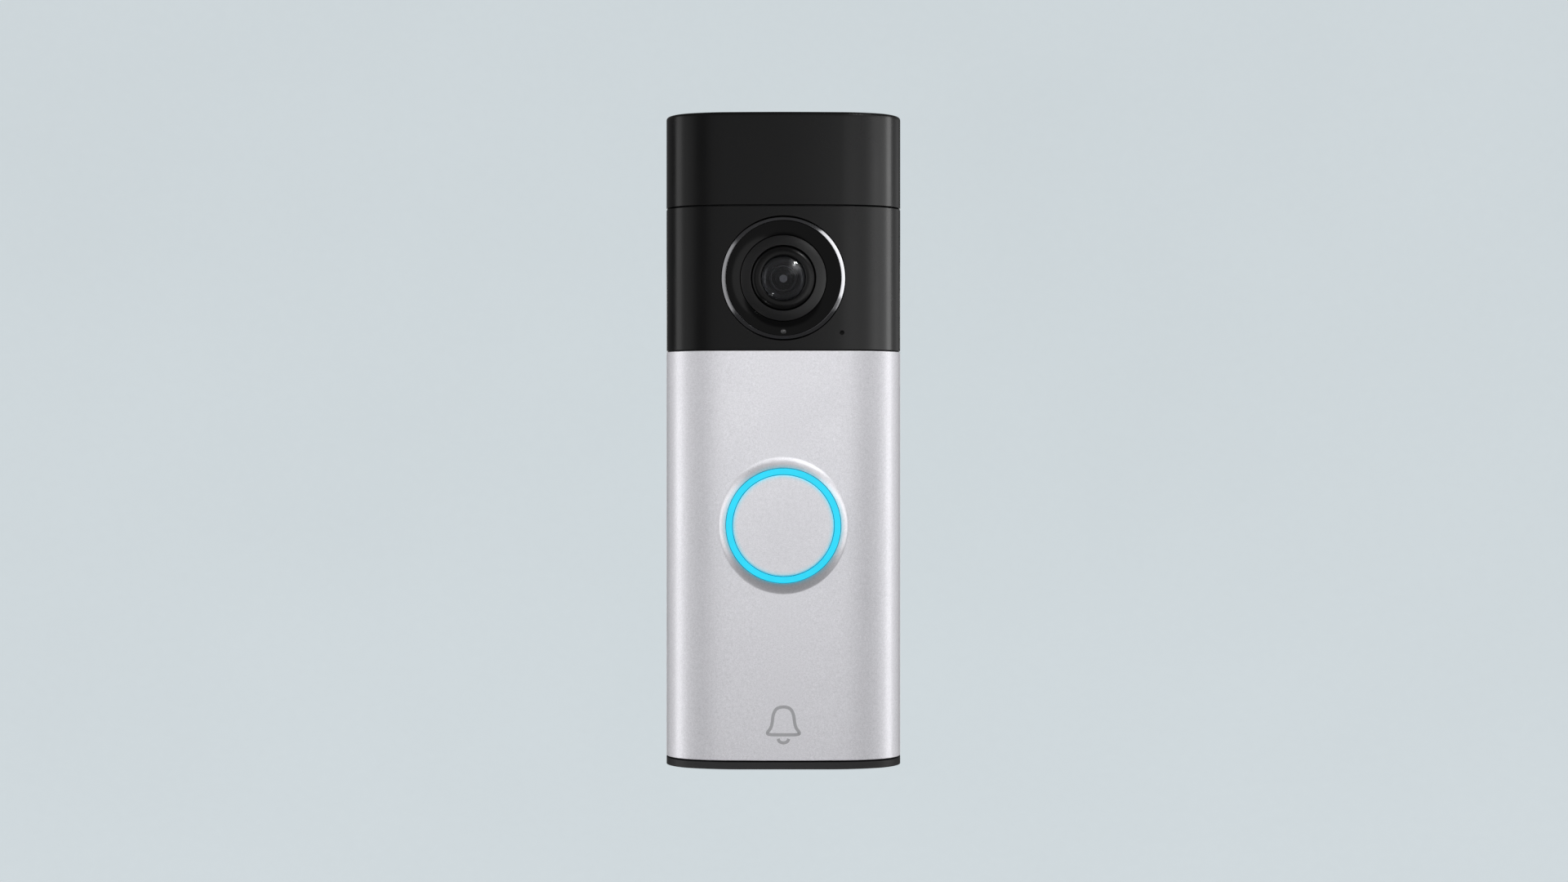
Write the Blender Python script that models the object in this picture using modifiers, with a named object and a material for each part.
"""A slim wired video doorbell, as an assembly of separate parts.

Frame: +X is to the right of someone facing the doorbell, +Y runs into the wall, +Z is up.
The origin is the middle of the wall bracket's back face, so Y = 0 is the wall and the front
faces -Y. Every size below is in millimetres, and the helpers turn it into metres.
"""

import math

import bmesh
import bpy

MM = 0.001
QUARTER_TURN = math.pi / 2

# Overall size
HEIGHT = 130.0
TOP = HEIGHT / 2
BOTTOM = -HEIGHT / 2
FRONT = -25.0  # the flat middle of the front
GAP = 0.3  # between parts that touch

# The front's crown, seen from above: a flat middle, a wide arc, then a tight arc to the side
FLAT_HALF = 8.8
WIDE_RADIUS = 25.0
WIDE_ANGLE = math.radians(23)
TIGHT_RADIUS = 8.2
WIDE_STEPS = 5
TIGHT_STEPS = 9
WIDE_CENTRE = (FLAT_HALF, FRONT + WIDE_RADIUS)
TIGHT_CENTRE = (
    WIDE_CENTRE[0] + (WIDE_RADIUS - TIGHT_RADIUS) * math.sin(WIDE_ANGLE),
    WIDE_CENTRE[1] - (WIDE_RADIUS - TIGHT_RADIUS) * math.cos(WIDE_ANGLE),
)
HALF_WIDTH = TIGHT_CENTRE[0] + TIGHT_RADIUS

# Outer shells
SHELL = 1.3
FACEPLATE_WALL = 1.2
SHELL_BACK = -5.3
CAP_BOTTOM = 46.6
COVER_TOP = 46.35
COVER_BOTTOM = 17.95
FACEPLATE_TOP = 17.75
FACEPLATE_BOTTOM = -63.3
CAP_ROOF = 1.5

# Rear case
RIM_FRONT = -5.0
RIM_BACK = -0.8
FLOOR_FRONT = -3.7
FLOOR_BACK = -2.1
RECESS_HALF = 21.9
RECESS_END = 63.2
CORE_INSET = 1.6
CORE_WALL = 1.4
CORE_HALF = HALF_WIDTH - CORE_INSET
CORE_TOP = 63.2
CORE_BOTTOM = -61.2
SPLIT_REAR = -11.7
SPLIT_FRONT = -12.5
FLANGE_TOP = -63.6
PAD_TOP = -62.7
PAD_HALF = 7.0
CORE_FRONT = FRONT + CORE_INSET
CORE_SKIN_BACK = CORE_FRONT + CORE_WALL

# Camera, on an axis along Y
LENS_Z = 32.1
BEZEL_RADIUS = 12.2
BEZEL_INNER = 11.45
WINDOW_INNER = 8.6
HOOD_RADIUS = 8.5
HOOD_INNER = 6.6
LENS_RADIUS = 6.35
BARREL_RADIUS = 7.2
SENSOR_DROP = 10.6  # light sensor, below the lens axis
MIC_X = 11.6
MIC_Z = 21.3

# Button, on an axis along Y
BUTTON_Z = -16.8
BUTTON_FRONT = -26.35
CAP_RADIUS = 9.9
GUIDE_INNER = 10.0
GUIDE_OUTER = 11.3
BUTTON_HOLE = 11.65
BOSS_TOP = 12.0
BOSS_FOOT = 13.5
BOSS_FRONT = -26.3
BOSS_STEPS = 4
LED_BOARD_FRONT = -19.4
GUIDE_LEDS = 6
LED_CIRCLE = 10.6

# Setup button under the faceplate
SETUP_X = 9.0
SETUP_Z = -42.0

# Fasteners and the wall bracket
POST_X = 15.5
POST_Z = 55.5
POST_RADIUS = 2.9
SECURITY_Y = -8.5
HOOK_X = 12.0
HOOK_Z = (44.0, -44.0)
HOOK_TRAVEL = 5.0
STEM = 1.6
BRACKET_FRONT = -1.8
BRACKET_HALF = 21.4
BRACKET_TOP = 62.7
BRACKET_BOTTOM = -57.7  # leaves room for the doorbell to lift off the hooks
WINDOW_MARGIN = 1.2
TERMINAL_X = 5.2
TERMINAL_Z = 25.0
WELL_HALF = 10.0
WELL_BOTTOM = 18.8
WELL_TOP = 37.0
BOARD_BACK = -9.2
BOARD_FRONT = -10.4

COLOURS = {  # colour, roughness, metallic
    "silver": ((0.62, 0.62, 0.64), 0.38, 0.85),
    "black_shell": ((0.02, 0.02, 0.021), 0.42, 0.0),
    "case_black": ((0.018, 0.018, 0.019), 0.55, 0.0),
    "gloss_black": ((0.006, 0.006, 0.007), 0.08, 0.0),
    "dark_metal": ((0.35, 0.35, 0.37), 0.22, 1.0),
    "glass": ((0.05, 0.06, 0.08), 0.02, 0.0),
    "light_guide": ((0.05, 0.72, 1.0), 0.35, 0.0),
    "rubber": ((0.03, 0.03, 0.03), 0.8, 0.0),
    "board_green": ((0.01, 0.10, 0.04), 0.45, 0.0),
    "chip_black": ((0.02, 0.02, 0.02), 0.5, 0.0),
    "steel": ((0.55, 0.55, 0.56), 0.3, 1.0),
    "brass": ((0.72, 0.52, 0.22), 0.3, 1.0),
    "led_white": ((0.85, 0.85, 0.78), 0.4, 0.0),
    "orange": ((0.85, 0.25, 0.03), 0.5, 0.0),
}


# ---------------------------------------------------------------- helpers


def clear_scene():
    for obj in list(bpy.data.objects):
        bpy.data.objects.remove(obj)


def new_collection(name):
    collection = bpy.data.collections.new(name)
    bpy.context.scene.collection.children.link(collection)
    return collection


def material(name):
    found = bpy.data.materials.get(name)
    if found:
        return found
    colour, roughness, metallic = COLOURS[name]
    made = bpy.data.materials.new(name)
    made.use_nodes = True
    shader = made.node_tree.nodes["Principled BSDF"]
    shader.inputs["Base Color"].default_value = (*colour, 1.0)
    shader.inputs["Roughness"].default_value = roughness
    shader.inputs["Metallic"].default_value = metallic
    return made


def add_object(name, data, look):
    """Links a new object to the parts' collection or, with no look, to the cutters'."""
    obj = bpy.data.objects.new(name, data)
    if look:
        PARTS.objects.link(obj)
        data.materials.append(material(look))
    else:
        HELPERS.objects.link(obj)
        obj.hide_render = True
        obj.display_type = "WIRE"
    return obj


def mesh_from(bm, name):
    mesh = bpy.data.meshes.new(name)
    bm.to_mesh(mesh)
    bm.free()
    return mesh


def box(name, low, high, look=None, bevel=0.0):
    """A box between two corners, with its object's origin at its centre."""
    size = [(b - a) * MM for a, b in zip(low, high)]
    bm = bmesh.new()
    bmesh.ops.create_cube(bm, size=1.0)
    bmesh.ops.scale(bm, vec=size, verts=bm.verts)
    obj = add_object(name, mesh_from(bm, name), look)
    obj.location = [(a + b) / 2 * MM for a, b in zip(low, high)]
    if bevel:
        round_edges(obj, bevel)
    return obj


def round_edges(obj, width, segments=2):
    bevel = obj.modifiers.new("rounded", "BEVEL")
    bevel.width = width * MM
    bevel.segments = segments
    bevel.limit_method = "ANGLE"
    bevel.angle_limit = math.radians(50)


def rod(name, radius, centre, low, high, look=None, axis="Y", sides=24, tip=None):
    """A cylinder, or with tip a cone, between two places along an axis, round a centre."""
    bm = bmesh.new()
    bmesh.ops.create_cone(
        bm,
        cap_ends=True,
        segments=sides,
        radius1=radius * MM,
        radius2=(radius if tip is None else tip) * MM,
        depth=(high - low) * MM,
    )
    obj = add_object(name, mesh_from(bm, name), look)
    middle = (low + high) / 2
    if axis == "Y":
        obj.rotation_euler.x = -QUARTER_TURN
        obj.location = [v * MM for v in (centre[0], middle, centre[1])]
    else:
        obj.location = [v * MM for v in (centre[0], centre[1], middle)]
    obj.data.set_sharp_from_angle(angle=math.radians(40))
    obj.data.shade_smooth()
    return obj


def turned(name, profile, centre, look=None, steps=40, closed=True):
    """A shape turned round an axis along Y. The profile holds (radius, y), from the front of its
    outer side to the back. It is closed into a hoop unless both its ends lie on the axis."""
    bm = bmesh.new()
    verts = [bm.verts.new((r * MM, 0.0, -y * MM)) for r, y in profile]
    pairs = list(zip(verts, verts[1:]))
    if closed:
        pairs.append((verts[-1], verts[0]))
    for pair in pairs:
        bm.edges.new(pair)
    obj = add_object(name, mesh_from(bm, name), look)
    obj.rotation_euler.x = QUARTER_TURN
    obj.location = (centre[0] * MM, 0.0, centre[1] * MM)
    screw = obj.modifiers.new("turned", "SCREW")
    screw.steps = screw.render_steps = steps
    screw.use_merge_vertices = True
    screw.merge_threshold = 0.00001
    screw.use_smooth_shade = True
    return obj


def prism(name, loops, low, high, look=None, axis="Z"):
    """Flat outlines, the later ones as holes, given a thickness from low to high.
    Along Z the outline is (x, y) and along Y it is (x, z)."""
    curve = bpy.data.curves.new(name, "CURVE")
    curve.dimensions = "2D"
    curve.fill_mode = "BOTH"
    curve.extrude = (high - low) / 2 * MM
    for loop in loops:
        spline = curve.splines.new("POLY")
        spline.points.add(len(loop) - 1)
        for point, (x, y) in zip(spline.points, loop):
            point.co = (x * MM, y * MM, 0.0, 1.0)
        spline.use_cyclic_u = True
    sketch = add_object(name + "_sketch", curve, None)
    middle = (low + high) / 2 * MM
    if axis == "Z":
        sketch.location.z = middle
    else:
        sketch.rotation_euler.x = QUARTER_TURN
        sketch.location.y = middle
    return made_mesh(sketch, name, look)


def made_mesh(sketch, name, look):
    """The curve object as a welded mesh object with the same place."""
    bpy.context.view_layer.update()
    graph = bpy.context.evaluated_depsgraph_get()
    mesh = bpy.data.meshes.new_from_object(sketch.evaluated_get(graph))
    mesh.materials.clear()
    bm = bmesh.new()
    bm.from_mesh(mesh)
    bmesh.ops.remove_doubles(bm, verts=bm.verts, dist=0.000001)
    bmesh.ops.dissolve_limit(bm, angle_limit=math.radians(0.5), verts=bm.verts, edges=bm.edges)
    bmesh.ops.recalc_face_normals(bm, faces=bm.faces)
    bm.to_mesh(mesh)
    bm.free()
    mesh.name = name
    obj = add_object(name, mesh, look)
    obj.matrix_world = sketch.matrix_world.copy()
    bpy.data.objects.remove(sketch)
    return obj


def change(obj, operation, tools):
    for tool in tools:
        modifier = obj.modifiers.new(tool.name, "BOOLEAN")
        modifier.operation = operation
        modifier.object = tool
        modifier.solver = "EXACT"


def cut(obj, *tools):
    change(obj, "DIFFERENCE", tools)


def join(obj, *tools):
    change(obj, "UNION", tools)


def joint_empty(name, place, *pieces):
    """An empty on a joint's axis, with the moving pieces parented to it in place."""
    empty = bpy.data.objects.new(name, None)
    PARTS.objects.link(empty)
    empty.location = [v * MM for v in place]
    bpy.context.view_layer.update()
    for piece in pieces:
        piece.parent = empty
        piece.matrix_parent_inverse = empty.matrix_world.inverted()
    return empty


def both_sides(x):
    return (-x, x)


# ---------------------------------------------------------------- outlines


def crown_path(inset, back):
    """The front's outline from above, from the left rear round the front to the right rear."""
    half = []
    arcs = (
        (WIDE_CENTRE, WIDE_RADIUS - inset, 0.0, WIDE_ANGLE, WIDE_STEPS),
        (TIGHT_CENTRE, TIGHT_RADIUS - inset, WIDE_ANGLE, QUARTER_TURN, TIGHT_STEPS),
    )
    for (cx, cy), radius, start, end, steps in arcs:
        for i in range(steps + 1):
            angle = start + (end - start) * i / steps
            half.append((cx + radius * math.sin(angle), cy - radius * math.cos(angle)))
    del half[WIDE_STEPS]  # the two arcs share this point
    half.append((HALF_WIDTH - inset, back))
    return [(-x, y) for x, y in reversed(half)] + half


def shell_loop(inset, wall, back):
    """A wall of constant thickness that follows the crown and is open at the back."""
    return crown_path(inset, back) + crown_path(inset + wall, back)[::-1]


def rounded_rectangle(half_x, low_z, high_z, radius, steps=4):
    corners = (
        (half_x - radius, high_z - radius, 0),
        (-half_x + radius, high_z - radius, 1),
        (-half_x + radius, low_z + radius, 2),
        (half_x - radius, low_z + radius, 3),
    )
    points = []
    for cx, cz, quarter in corners:
        for i in range(steps + 1):
            angle = QUARTER_TURN * (quarter + i / steps)
            points.append((cx + radius * math.cos(angle), cz + radius * math.sin(angle)))
    return points


def slot_loop(cx, cz, radius, half_run, steps=5):
    """A hole with round ends that lies along X, or a round hole if half_run is 0."""
    points = []
    for side in (1, -1):
        for i in range(steps + 1):
            angle = -QUARTER_TURN + math.pi * i / steps + (0 if side > 0 else math.pi)
            points.append(
                (cx + side * half_run + radius * math.cos(angle), cz + radius * math.sin(angle))
            )
    return points


def open_slot_loop(radius, centre_y, back, steps=8):
    """A slot along Y with a round front end."""
    points = [(radius, back), (-radius, back)]
    for i in range(steps + 1):
        angle = math.pi + math.pi * i / steps
        points.append((radius * math.cos(angle), centre_y + radius * math.sin(angle)))
    return points


# ---------------------------------------------------------------- case


def speaker_slots(prefix, low, high):
    """Slots through the bottom for the speaker's sound, either side of the faceplate's tongue."""
    width = 1.0
    tools = []
    for side in (-1, 1):
        for n in range(3):
            x = side * (7.9 + 1.9 * n)
            tools.append(
                box(
                    f"{prefix}_slot_{side}_{n}",
                    (x - width / 2, -20.5, low),
                    (x + width / 2, -15.5, high),
                )
            )
    return tools


def rear_case():
    case = box(
        "rear_case", (-HALF_WIDTH, RIM_FRONT, BOTTOM), (HALF_WIDTH, RIM_BACK, TOP), "case_black"
    )
    join(
        case,
        box("case_core", (-CORE_HALF, SPLIT_REAR, CORE_BOTTOM), (CORE_HALF, -4.5, CORE_TOP)),
        prism("case_flange", [crown_path(0, -4.5)], BOTTOM, FLANGE_TOP),
        box("flange_pad", (-PAD_HALF, -12.0, -64.0), (PAD_HALF, -4.5, PAD_TOP)),
        *(
            box(
                f"flange_web_{n}",
                (min(side * 8.0, side * 21.0), SPLIT_REAR, -64.0),
                (max(side * 8.0, side * 21.0), -4.5, CORE_BOTTOM + 0.5),
            )
            for n, side in enumerate((-1, 1))
        ),
    )
    hollow_half = CORE_HALF - CORE_WALL
    cut(
        case,
        box(
            "case_hollow",
            (-hollow_half, SPLIT_REAR - 1, CORE_BOTTOM + CORE_WALL),
            (hollow_half, FLOOR_FRONT, CORE_TOP - CORE_WALL),
        ),
        box("bracket_recess", (-RECESS_HALF, FLOOR_BACK, -RECESS_END), (RECESS_HALF, 1.0, RECESS_END)),
    )
    add_case_bosses(case)
    cut_case_holes(case)
    return case


def add_case_bosses(case):
    floor = FLOOR_FRONT + 0.4
    wall = 1.2
    join(
        case,
        box(
            "terminal_well",
            (-WELL_HALF - wall, -7.7, WELL_BOTTOM - wall),
            (WELL_HALF + wall, floor, WELL_TOP + wall),
        ),
        box("security_boss", (-4.2, SPLIT_REAR, CORE_BOTTOM + 0.5), (4.2, floor, -55.4)),
        *(
            box(
                f"hook_boss_{x}_{z}",
                (x - 4.0, -7.6, z - HOOK_TRAVEL - 1.6),
                (x + 4.0, floor, z + STEM + 4.8),
            )
            for x in both_sides(HOOK_X)
            for z in HOOK_Z
        ),
        *(
            rod(f"case_post_{x}_{z}", POST_RADIUS, (x, z), SPLIT_REAR + 0.2, floor, sides=16)
            for x in both_sides(POST_X)
            for z in both_sides(POST_Z)
        ),
        *(
            rod(f"board_peg_{x}_{z}", 1.5, (x, z), BOARD_BACK + 0.15, floor, sides=10)
            for x in both_sides(17.2)
            for z in (-30.0, 8.0)
        ),
    )


def cut_case_holes(case):
    tools = [
        box("well_cut", (-WELL_HALF, -6.5, WELL_BOTTOM), (WELL_HALF, 1.0, WELL_TOP)),
        rod("insert_bore", 2.2, (0, SECURITY_Y), -60.2, -54.0, axis="Z", sides=20),
        rod("security_bore", 1.35, (0, SECURITY_Y), -66.0, -59.0, axis="Z", sides=20),
        rod("security_head_bore", 2.55, (0, SECURITY_Y), -66.0, -63.5, axis="Z", sides=20),
        box("tongue_space", (-6.4, -13.0, PAD_TOP), (6.4, -6.0, CORE_BOTTOM)),
    ]
    for x in both_sides(TERMINAL_X):
        tools.append(rod(f"terminal_bore_{x}", 1.85, (x, TERMINAL_Z), -8.5, -6.0, sides=20))
    for x in both_sides(POST_X):
        for z in both_sides(POST_Z):
            tools.append(rod(f"post_bore_{x}_{z}", 1.3, (x, z), SPLIT_REAR - 1, -1.5, sides=16))
            tools.append(rod(f"head_bore_{x}_{z}", 2.3, (x, z), -4.6, -1.5, sides=16))
    for x in both_sides(HOOK_X):
        for z in HOOK_Z:
            low = z - HOOK_TRAVEL - 0.4
            tools.append(
                box(f"hook_slot_{x}_{z}", (x - 2.3, -5.0, low), (x + 2.3, -1.5, z + STEM + GAP))
            )
            tools.append(
                box(f"hook_room_{x}_{z}", (x - 2.7, -6.4, low), (x + 2.7, -3.8, z + STEM + 3.6))
            )
    tools += speaker_slots("flange", -66.0, -63.0)
    cut(case, *tools)


def front_frame():
    """The front half of the sealed core: the camera, the button and the boards sit in it."""
    frame = prism(
        "front_frame", [crown_path(CORE_INSET, SPLIT_FRONT)], CORE_BOTTOM, CORE_TOP, "case_black"
    )
    inner = CORE_INSET + CORE_WALL
    cut(
        frame,
        prism(
            "frame_hollow",
            [crown_path(inner, SPLIT_FRONT + 1)],
            CORE_BOTTOM + CORE_WALL,
            CORE_TOP - CORE_WALL,
        ),
    )
    join(
        frame,
        *(
            rod(f"frame_post_{x}_{z}", 2.5, (x, z), -21.0, SPLIT_FRONT - 0.1, sides=16)
            for x in both_sides(POST_X)
            for z in both_sides(POST_Z)
        ),
    )
    cut(
        frame,
        rod("camera_bore", BEZEL_RADIUS + GAP, (0, LENS_Z), -27.0, -20.5, sides=40),
        rod("button_bore", BUTTON_HOLE, (0, BUTTON_Z), -27.0, -20.5, sides=40),
        rod("motion_bore", 4.6, (0, 55.3), -27.0, -20.5, sides=24),
        rod("mic_bore", 1.3, (MIC_X, MIC_Z), -27.0, -20.5, sides=12),
        rod("setup_bore", 1.95, (SETUP_X, SETUP_Z), -27.0, -20.5, sides=16),
        *(
            rod(f"frame_bore_{x}_{z}", 1.15, (x, z), -18.0, -11.5, sides=12)
            for x in both_sides(POST_X)
            for z in both_sides(POST_Z)
        ),
        *speaker_slots("frame", -62.5, -59.0),
    )
    return frame


def case_seal():
    outer = rounded_rectangle(CORE_HALF, CORE_BOTTOM, CORE_TOP, 0.5, 1)
    inner = rounded_rectangle(
        CORE_HALF - CORE_WALL, CORE_BOTTOM + CORE_WALL, CORE_TOP - CORE_WALL, 0.5, 1
    )
    gap = 0.08
    return prism(
        "case_seal", [outer, inner], SPLIT_FRONT + gap, SPLIT_REAR - gap, "rubber", axis="Y"
    )


def case_screws():
    """Four screws that hold the two halves of the core together, driven from the back."""
    places = [(x, z) for z in both_sides(POST_Z) for x in both_sides(POST_X)]
    for n, (x, z) in enumerate(places, 1):
        screw = turned(
            f"case_screw_{n}",
            [(0, -17.4), (0.95, -16.8), (0.95, -4.4), (2.0, -4.4), (2.0, -2.9), (1.7, -2.6), (0, -2.6)],
            (x, z),
            "steel",
            steps=12,
            closed=False,
        )
        slot = rod(f"case_screw_socket_{n}", 1.0, (x, z), -3.6, -2.0, sides=6)
        cut(screw, slot)


# ---------------------------------------------------------------- outer shells


def top_cap():
    """The window for the motion sensor, which closes the top of the doorbell."""
    cap = prism("top_cap", [shell_loop(0, SHELL, SHELL_BACK)], CAP_BOTTOM, TOP, "black_shell")
    join(cap, prism("cap_roof", [crown_path(0.4, SHELL_BACK)], TOP - CAP_ROOF, TOP - 0.05))
    return cap


def camera_cover():
    cover = prism(
        "camera_cover", [shell_loop(0, SHELL, SHELL_BACK)], COVER_BOTTOM, COVER_TOP, "black_shell"
    )
    cut(
        cover,
        rod("cover_lens_hole", BEZEL_RADIUS + 0.15, (0, LENS_Z), -27.0, -20.0, sides=48),
        rod("cover_mic_hole", 0.46, (MIC_X, MIC_Z), -27.0, -20.0, sides=12),
    )
    return cover


def boss_flank():
    """The hollow-curved side of the raised surround, as (radius, y) from its top to its foot."""
    drop = FRONT + 0.3 - BOSS_FRONT
    points = []
    for i in range(BOSS_STEPS + 1):
        part = i / BOSS_STEPS
        radius = BOSS_TOP + (BOSS_FOOT - BOSS_TOP) * part**1.6
        points.append((radius, BOSS_FRONT + drop * part**0.8))
    return points


def faceplate():
    """The removable satin cover. Its tongue reaches back under the core to the security screw."""
    plate = prism(
        "faceplate",
        [shell_loop(0, FACEPLATE_WALL, SHELL_BACK)],
        FACEPLATE_BOTTOM,
        FACEPLATE_TOP,
        "silver",
    )
    tongue = box("tongue", (-6.0, FRONT + 0.6, PAD_TOP + GAP), (6.0, -6.6, CORE_BOTTOM - GAP))
    cut(tongue, prism("tongue_slot", [open_slot_loop(1.4, SECURITY_Y, -5.0)], -64.0, -60.0))
    join(
        plate,
        turned(
            "button_boss",
            [(0, BOSS_FRONT), *boss_flank(), (BOSS_FOOT, FRONT + 0.9), (0, FRONT + 0.9)],
            (0, BUTTON_Z),
            steps=48,
            closed=False,
        ),
        tongue,
    )
    cut(plate, rod("plate_button_hole", BUTTON_HOLE, (0, BUTTON_Z), -28.0, -20.0, sides=48))
    return plate


# ---------------------------------------------------------------- camera


def camera():
    axis = (0, LENS_Z)
    turned(
        "camera_bezel",
        [
            (BEZEL_INNER, -25.15),
            (BEZEL_INNER + 0.25, -25.4),
            (BEZEL_RADIUS - 0.25, -25.4),
            (BEZEL_RADIUS, -25.15),
            (BEZEL_RADIUS, -23.05),
            (BEZEL_INNER, -23.05),
        ],
        axis,
        "dark_metal",
        steps=48,
    )
    window = turned(
        "camera_window",
        [
            (WINDOW_INNER, -24.9),
            (BEZEL_INNER - 0.1, -25.1),
            (BEZEL_INNER - 0.1, -23.5),
            (WINDOW_INNER, -23.5),
        ],
        axis,
        "gloss_black",
    )
    sensor = (0, LENS_Z - SENSOR_DROP)
    cut(window, rod("sensor_hole", 0.65, sensor, -26.0, -23.0, sides=14))
    rod("light_sensor_lens", 0.55, sensor, -25.0, -23.4, "glass", sides=12)
    turned(
        "lens_hood",
        [
            (HOOD_INNER, -24.2),
            (HOOD_RADIUS - 0.3, -24.95),
            (HOOD_RADIUS, -24.8),
            (HOOD_RADIUS, -23.4),
            (HOOD_INNER, -23.4),
        ],
        axis,
        "black_shell",
    )
    lens_parts(axis)
    turned(
        "camera_holder",
        [
            (11.3, -22.9),
            (12.15, -22.9),
            (12.15, -21.3),
            (13.2, -21.3),
            (13.2, -20.2),
            (BARREL_RADIUS + 0.3, -20.2),
            (BARREL_RADIUS + 0.3, -21.3),
            (11.3, -21.3),
        ],
        axis,
        "case_black",
    )
    turned(
        "infrared_board",
        [(7.9, -22.3), (11.1, -22.3), (11.1, -21.5), (7.9, -21.5)],
        axis,
        "board_green",
    )
    for n in range(4):
        angle = math.radians(45 + 90 * n)
        x, z = 9.8 * math.cos(angle), LENS_Z + 9.8 * math.sin(angle)
        box(f"infrared_led_{n + 1}", (x - 0.9, -23.1, z - 0.9), (x + 0.9, -22.4, z + 0.9), "led_white")


def arc_points(radius, rim, rim_y, bulge, count):
    """Points (radius, y) of a spherical face from the axis to its rim, bulging forward for +1."""
    centre = rim_y + bulge * math.sqrt(radius**2 - rim**2)
    points = []
    for i in range(count + 1):
        r = rim * i / count
        points.append((r, centre - bulge * math.sqrt(radius**2 - r**2)))
    return points


def lens_parts(axis):
    front_face = arc_points(11.0, LENS_RADIUS, -23.9, 1, 6)
    hollow = arc_points(6.0, 4.2, -21.6, 1, 4)
    turned(
        "front_lens",
        front_face + [(LENS_RADIUS, -21.6)] + hollow[::-1],
        axis,
        "glass",
        steps=32,
        closed=False,
    )
    turned(
        "lens_barrel",
        [
            (6.5, -23.2),
            (BARREL_RADIUS, -23.2),
            (BARREL_RADIUS, -14.0),
            (5.2, -14.0),
            (5.2, -16.0),
            (2.3, -16.0),
            (2.3, -18.0),
            (4.4, -19.4),
            (4.4, -21.4),
            (6.5, -21.4),
        ],
        axis,
        "case_black",
        steps=32,
    )
    turned(
        "inner_lens",
        [*arc_points(9.0, 4.25, -20.2, 1, 4), (4.25, -19.6), (0, -19.6)],
        axis,
        "glass",
        steps=24,
        closed=False,
    )
    box("image_sensor", (-3.0, -14.6, LENS_Z - 2.3), (3.0, -13.85, LENS_Z + 2.3), "chip_black")
    box("camera_board", (-8.5, -13.7, LENS_Z - 8.5), (8.5, -12.7, LENS_Z + 8.5), "board_green")


# ---------------------------------------------------------------- electronics


def electronics():
    rod("motion_sensor", 4.1, (0, 55.3), -23.3, -20.3, "steel", sides=24)
    box("motion_board", (-9.0, -20.1, 50.0), (9.0, -19.2, 60.5), "board_green")
    turned(
        "microphone_boot",
        [(0.5, -23.1), (1.1, -23.1), (1.1, -21.2), (2.2, -21.2), (2.2, -20.4), (0.5, -20.4)],
        (MIC_X, MIC_Z),
        "rubber",
        steps=14,
    )
    box("microphone", (MIC_X - 1.75, -20.2, MIC_Z - 1.35), (MIC_X + 1.75, -19.2, MIC_Z + 1.35), "steel")
    board = box("main_board", (-19.0, BOARD_FRONT, -51.0), (19.0, BOARD_BACK, 50.0), "board_green")
    cut(
        board,
        *(box(f"board_notch_{x}", (x - 4, -12, 47.0), (x + 4, -8, 52.0)) for x in both_sides(17.0)),
    )
    box("shield_can", (-10.0, -12.5, -4.0), (10.0, BOARD_FRONT - 0.1, 20.0), "steel", bevel=0.4)
    box("antenna_strip", (19.6, -16.0, 24.0), (20.2, -13.0, 46.0), "board_green")
    rod("backup_capacitor", 4.0, (-9.5, -15.2), -49.0, -28.0, "chip_black", axis="Z")
    speaker()


def speaker():
    """A small speaker that faces down, over the slots in the bottom."""
    frame = box("speaker_frame", (-12.0, -21.0, -59.5), (12.0, -13.0, -53.5), "chip_black")
    cut(frame, box("speaker_room", (-10.6, -19.7, -60.5), (10.6, -14.3, -54.7)))
    turned_cone = box("speaker_cone", (-10.3, -19.4, -58.9), (10.3, -14.6, -58.5), "rubber")
    bulge = rod("cone_bulge", 2.0, (0, -17.0), -58.7, -57.9, axis="Z", sides=20, tip=1.2)
    join(turned_cone, bulge)
    box("speaker_magnet", (-5.0, -19.0, -57.6), (5.0, -15.0, -54.9), "steel", bevel=0.3)


# ---------------------------------------------------------------- button


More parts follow.
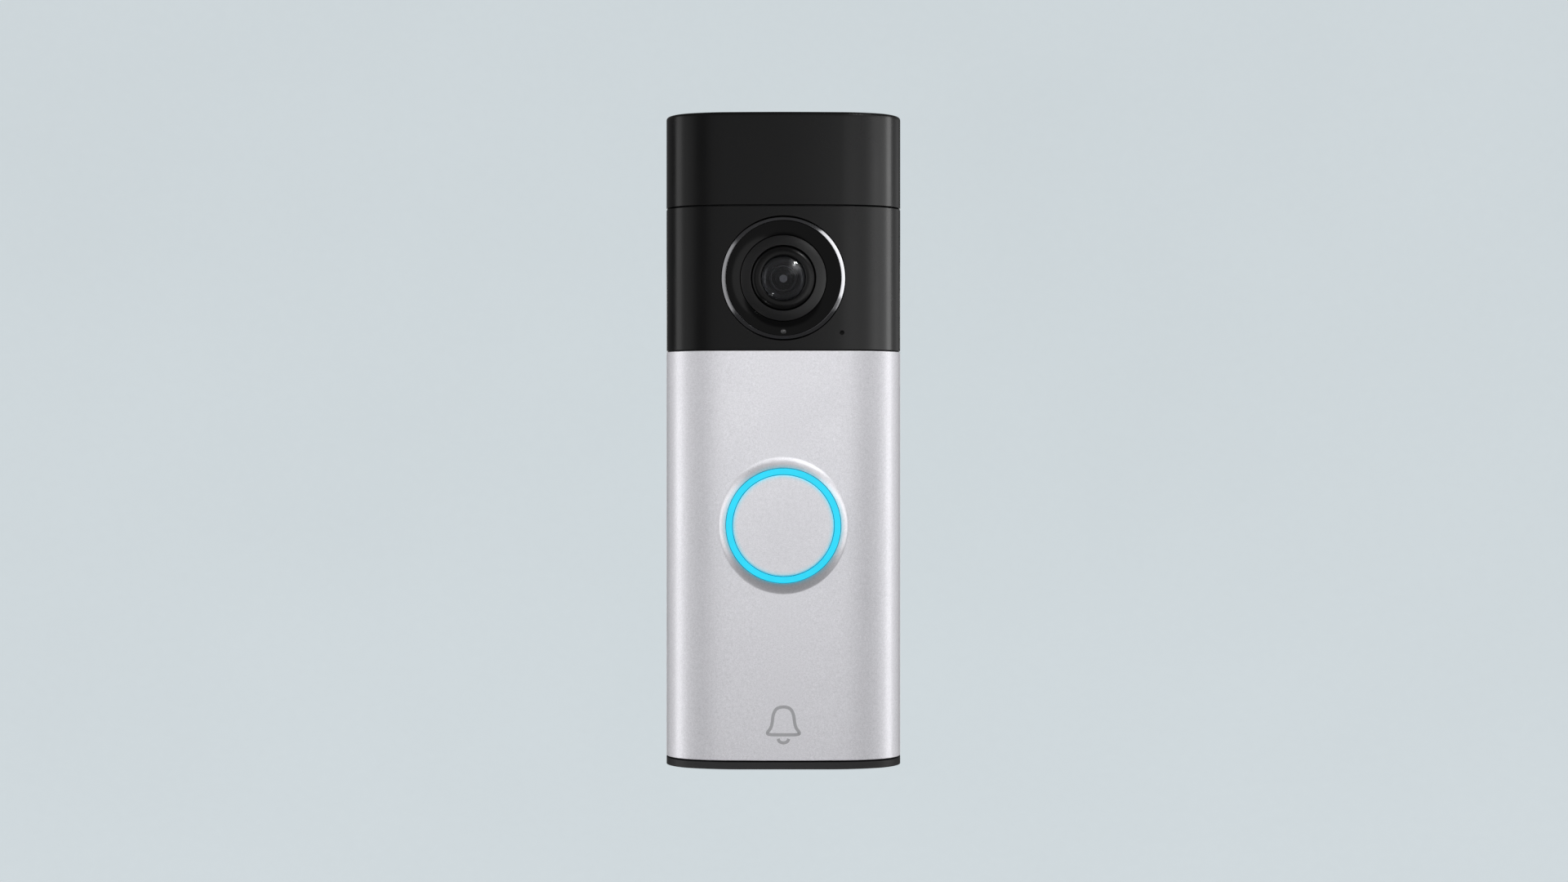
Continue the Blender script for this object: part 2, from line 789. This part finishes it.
def button():
    axis = (0, BUTTON_Z)
    cap = turned(
        "button_cap",
        [
            (0, BUTTON_FRONT),
            (CAP_RADIUS - 0.2, BUTTON_FRONT),
            (CAP_RADIUS, BUTTON_FRONT + 0.2),
            (CAP_RADIUS, -25.35),
            (0, -25.35),
        ],
        axis,
        "silver",
        steps=48,
        closed=False,
    )
    guide = turned(
        "light_guide",
        [
            (0, -25.2),
            (GUIDE_INNER, -25.2),
            (GUIDE_INNER, BUTTON_FRONT),
            (GUIDE_OUTER, BUTTON_FRONT),
            (GUIDE_OUTER, -21.5),
            (12.4, -21.5),
            (12.4, -20.9),
            (10.1, -20.9),
            (10.1, -24.0),
            (1.6, -24.0),
            (1.6, -22.4),
            (0, -22.4),
        ],
        axis,
        "light_guide",
        steps=48,
        closed=False,
    )
    joint_empty("button_axis", (0, BUTTON_FRONT, BUTTON_Z), cap, guide)
    turned("button_seal", [(11.8, -20.2), (13.4, -20.2), (13.4, -19.5), (11.8, -19.5)], axis, "rubber")
    rod("led_board", 13.2, axis, LED_BOARD_FRONT, -18.6, "board_green", sides=40)
    for n in range(GUIDE_LEDS):
        angle = 2 * math.pi * (n + 0.5) / GUIDE_LEDS
        x = LED_CIRCLE * math.cos(angle)
        z = BUTTON_Z + LED_CIRCLE * math.sin(angle)
        box(f"guide_led_{n + 1}", (x - 0.6, -20.0, z - 0.6), (x + 0.6, -19.5, z + 0.6), "led_white")
    body = box(
        "switch_body", (-2.6, -21.2, BUTTON_Z - 2.6), (2.6, -19.5, BUTTON_Z + 2.6), "chip_black"
    )
    cut(body, rod("switch_bore", 1.2, axis, -22.0, -19.9, sides=16))
    stem = rod("switch_stem", 1.0, axis, -21.9, -20.4, "steel", sides=16)
    joint_empty("switch_axis", (0, -21.9, BUTTON_Z), stem)


def setup_button():
    axis = (SETUP_X, SETUP_Z)
    push = turned(
        "setup_button",
        [
            (0, -23.45),
            (1.6, -23.45),
            (1.6, -21.2),
            (2.5, -21.2),
            (2.5, -20.6),
            (0.9, -20.6),
            (0.9, -14.1),
            (0, -14.1),
        ],
        axis,
        "orange",
        steps=20,
        closed=False,
    )
    joint_empty("setup_axis", (SETUP_X, -23.45, SETUP_Z), push)
    x, z = axis
    box("setup_switch", (x - 2.0, -13.6, z - 2.0), (x + 2.0, BOARD_FRONT - 0.1, z + 2.0), "chip_black")


# ---------------------------------------------------------------- fasteners and bracket


def security_fastener():
    """The screw that clamps the faceplate's tongue, its captive washer and its brass insert."""
    axis = (0, SECURITY_Y)
    insert = rod("security_insert", 2.0, axis, -60.0, -56.0, "brass", axis="Z", sides=20)
    cut(insert, rod("insert_hole", 1.3, axis, -61.0, -55.0, axis="Z", sides=16))
    washer = rod("security_washer", 2.2, axis, -63.95, -63.65, "steel", axis="Z", sides=20)
    cut(washer, rod("washer_hole", 1.2, axis, -65.0, -63.0, axis="Z", sides=16))
    screw = rod("security_screw", 2.2, axis, -64.9, -64.05, "steel", axis="Z", sides=20)
    join(screw, rod("security_shank", 1.05, axis, -64.5, -56.5, axis="Z", sides=16))
    cut(screw, rod("security_socket", 1.0, axis, -65.5, -64.4, axis="Z", sides=6))
    joint_empty("security_axis", (0, SECURITY_Y, -64.9), washer, screw)


def terminals():
    """Two wire terminals in the back: a brass plate, a square clamp washer and a screw each."""
    for n, x in enumerate(both_sides(TERMINAL_X), 1):
        z = TERMINAL_Z
        plate = box(f"terminal_plate_{n}", (x - 4.2, -6.4, z - 5.5), (x + 4.2, -5.4, z + 6.5), "brass")
        cut(plate, rod(f"plate_hole_{n}", 1.85, (x, z), -7.0, -5.0, sides=20))
        washer = box(f"clamp_washer_{n}", (x - 3.6, -5.3, z - 3.6), (x + 3.6, -4.5, z + 3.6), "steel")
        cut(washer, rod(f"clamp_hole_{n}", 1.8, (x, z), -6.0, -4.0, sides=20))
        screw = turned(
            f"terminal_screw_{n}",
            [(0, -8.6), (1.6, -8.2), (1.6, -4.4), (3.2, -4.4), (3.2, -3.4), (2.6, -2.9), (0, -2.8)],
            (x, z),
            "brass",
            steps=20,
            closed=False,
        )
        cut(screw, box(f"driver_slot_{n}", (x - 4.0, -3.6, z - 0.45), (x + 4.0, -2.0, z + 0.45)))
        joint_empty(f"terminal_axis_{n}", (x, -2.8, z), washer, screw)


def wall_bracket():
    bracket = prism(
        "wall_bracket",
        [
            rounded_rectangle(BRACKET_HALF, BRACKET_BOTTOM, BRACKET_TOP, 3.0),
            rounded_rectangle(
                WELL_HALF + 0.5, WELL_BOTTOM - WINDOW_MARGIN, WELL_TOP + WINDOW_MARGIN, 1.5, 2
            ),
            slot_loop(0, 53.0, 1.95, 0.0),
            slot_loop(0, -50.0, 1.95, 2.6),
            slot_loop(-15.0, 6.0, 1.95, 0.0),
            slot_loop(15.0, 6.0, 1.95, 0.0),
        ],
        BRACKET_FRONT,
        0.0,
        "case_black",
        axis="Y",
    )
    for x in both_sides(HOOK_X):
        for z in HOOK_Z:
            join(
                bracket,
                box(f"hook_stem_{x}_{z}", (x - 2.0, -5.7, z), (x + 2.0, -1.4, z + STEM)),
                box(f"hook_tip_{x}_{z}", (x - 2.0, -5.7, z + 0.5), (x + 2.0, -4.2, z + STEM + 2.8)),
            )
    return bracket


clear_scene()
PARTS = new_collection("video_doorbell")
HELPERS = new_collection("cutters")
rear_case()
front_frame()
case_seal()
case_screws()
top_cap()
camera_cover()
joint_empty("faceplate_axis", (0, FRONT, 0), faceplate())
camera()
electronics()
button()
setup_button()
security_fastener()
terminals()
hung = [obj for obj in PARTS.objects if obj.parent is None]
joint_empty("lift_axis", (0, 0, 0), *hung)
wall_bracket()
